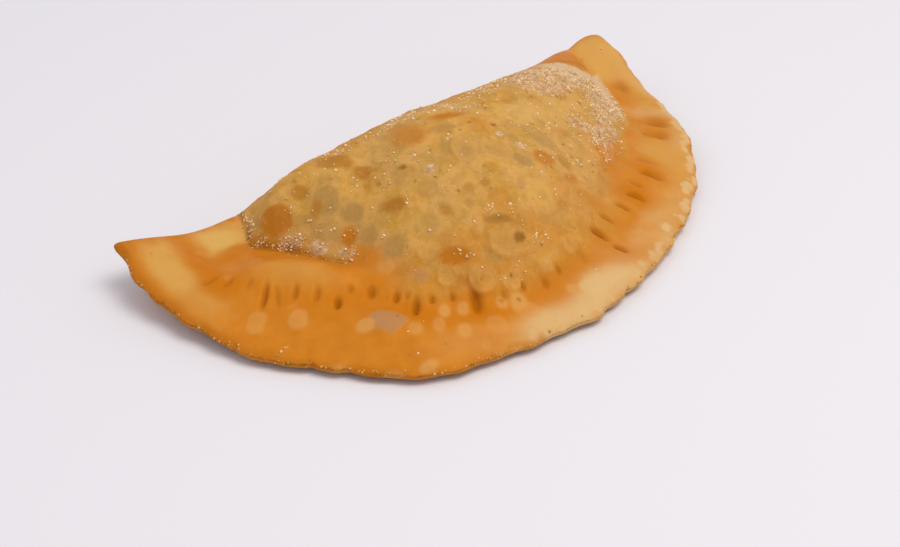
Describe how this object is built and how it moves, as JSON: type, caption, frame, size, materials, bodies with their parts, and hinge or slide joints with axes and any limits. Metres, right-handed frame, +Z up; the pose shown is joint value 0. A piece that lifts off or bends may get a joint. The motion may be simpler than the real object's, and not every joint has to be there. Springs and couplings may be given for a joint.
{
  "type": "empanada",
  "caption": "Half-moon fried empanada with a domed filled belly, a wide fork-crimped rim and a dusting of coarse sugar.",
  "frame": {"origin": "middle of the bounding box's underside, on the surface that the empanada rests on", "axes": "+X along the fold towards the curled tip, +Y towards the folded edge, -Y towards the crimped rim, +Z up"},
  "size_m": [0.2104, 0.1146, 0.0395],
  "materials": {
    "fried_crust": "fried wheat dough, golden to brown, satin where oily and matt and blistered over the filling, with grains of coarse sugar",
    "coarse_sugar": "grains of coarse, pale cream sugar, slightly see-through and dull",
    "toasted_crumb": "dry crumbs of dough fried brown"
  },
  "bodies": {
    "root": {"empanada": "fried_crust"}
  },
  "joints": []
}
